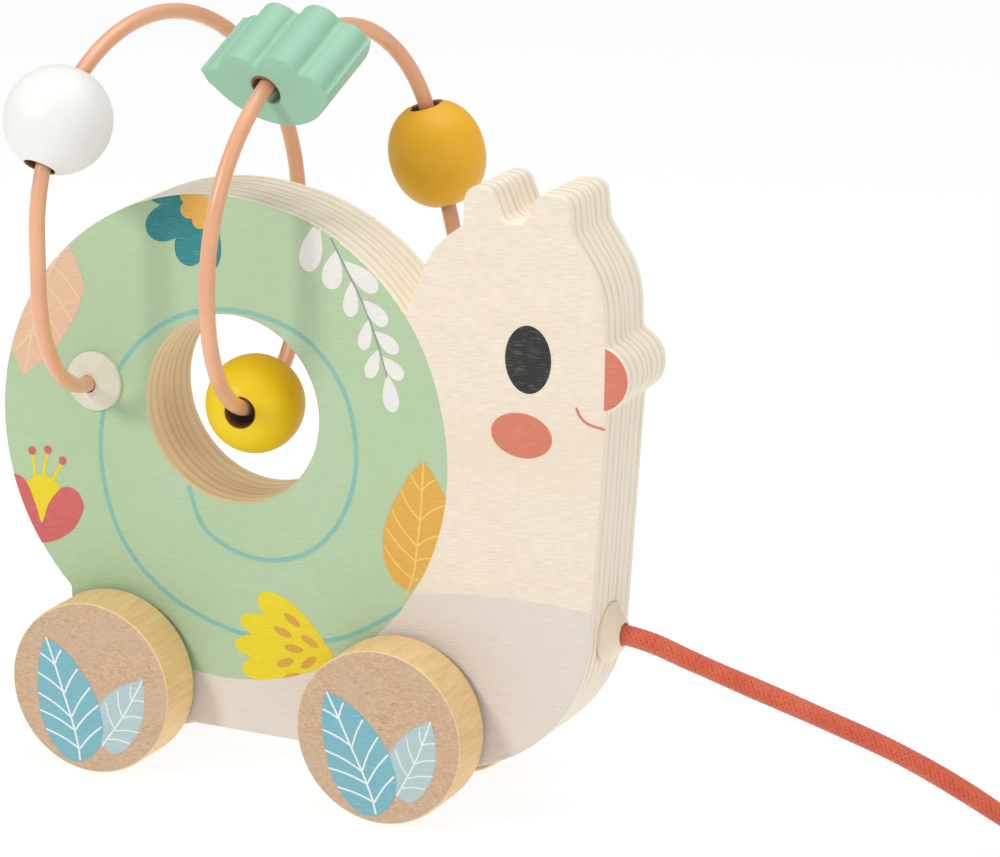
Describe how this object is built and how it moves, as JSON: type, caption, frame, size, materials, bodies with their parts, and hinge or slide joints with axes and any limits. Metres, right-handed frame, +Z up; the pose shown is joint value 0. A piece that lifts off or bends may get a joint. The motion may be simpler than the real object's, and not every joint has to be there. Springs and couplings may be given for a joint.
{
  "type": "pull-along snail toy",
  "caption": "Plywood snail on wooden wheels, with a bent wire over its holed shell that carries sliding wooden beads, and a red pull cord at the front.",
  "frame": {"origin": "on the floor under the middle of the toy, measured without the pull cord", "axes": "+X the way the snail faces and rolls, +Y its left side, +Z up"},
  "size_m": [0.3531, 0.1029, 0.1998],
  "materials": {
    "painted_ply": "birch plywood, matt water-based paint on the faces, bare edges",
    "wheel_wood": "beech, matt varnish, printed outer face",
    "axle_steel": "drawn",
    "bush_nylon": "moulded",
    "coated_wire": "smooth coating on steel wire",
    "cap_plastic": "satin moulded",
    "white_paint": "satin paint on wood",
    "yellow_paint": "satin paint on wood",
    "green_paint": "satin paint on wood",
    "orange_paint": "satin paint on wood",
    "red_cord": "braided polyester"
  },
  "bodies": {
    "toy_body": {"body_board_right": "painted_ply", "body_board_left": "painted_ply", "rear_axle_bush_right": "bush_nylon", "rear_axle_bush_left": "bush_nylon", "front_axle_bush_right": "bush_nylon", "front_axle_bush_left": "bush_nylon", "bead_wire": "coated_wire", "wire_cap_right": "cap_plastic", "wire_cap_left": "cap_plastic", "cord_cap": "cap_plastic", "cord_anchor": "red_cord", "pull_cord": "red_cord", "pull_cord_coil": "red_cord", "pull_cord_knot": "red_cord"},
    "rear_wheelset": {"rear_axle": "axle_steel", "rear_wheel_right": "wheel_wood", "rear_wheel_left": "wheel_wood"},
    "front_wheelset": {"front_axle": "axle_steel", "front_wheel_right": "wheel_wood", "front_wheel_left": "wheel_wood"},
    "white_bead": {"white_bead": "white_paint"},
    "yellow_bead": {"yellow_bead": "yellow_paint"},
    "green_bead": {"green_cloud_bead": "green_paint"},
    "orange_bead": {"orange_bead": "orange_paint"}
  },
  "joints": [
    {"name": "rear_wheels_spin", "type": "hinge", "parent": "toy_body", "child": "rear_wheelset", "pos_m": [-0.0532, 0, 0.0225], "axis": [0, 1, 0], "continuous": true},
    {"name": "front_wheels_spin", "type": "hinge", "parent": "toy_body", "child": "front_wheelset", "pos_m": [0.0282, 0, 0.0225], "axis": [0, 1, 0], "continuous": true},
    {"name": "white_bead_travel", "type": "hinge", "parent": "toy_body", "child": "white_bead", "pos_m": [-0.04861, 0.00063, 0.14506], "axis": [-0.9862, 0.1654, -0.0008], "range_deg": [-28, 44]},
    {"name": "yellow_bead_travel", "type": "hinge", "parent": "toy_body", "child": "yellow_bead", "pos_m": [-0.01862, 0.00042, 0.13557], "axis": [-0.9895, -0.1422, 0.0254], "range_deg": [-6, 68]},
    {"name": "green_bead_travel", "type": "hinge", "parent": "toy_body", "child": "green_bead", "pos_m": [-0.00544, 0.01426, 0.13712], "axis": [-0.99, 0.1365, 0.0353], "range_deg": [-48, 6]},
    {"name": "orange_bead_travel", "type": "slide", "parent": "toy_body", "child": "orange_bead", "axis": [0.2416, 0.0049, -0.9704], "range_m": [-0.005, 0.022]}
  ]
}
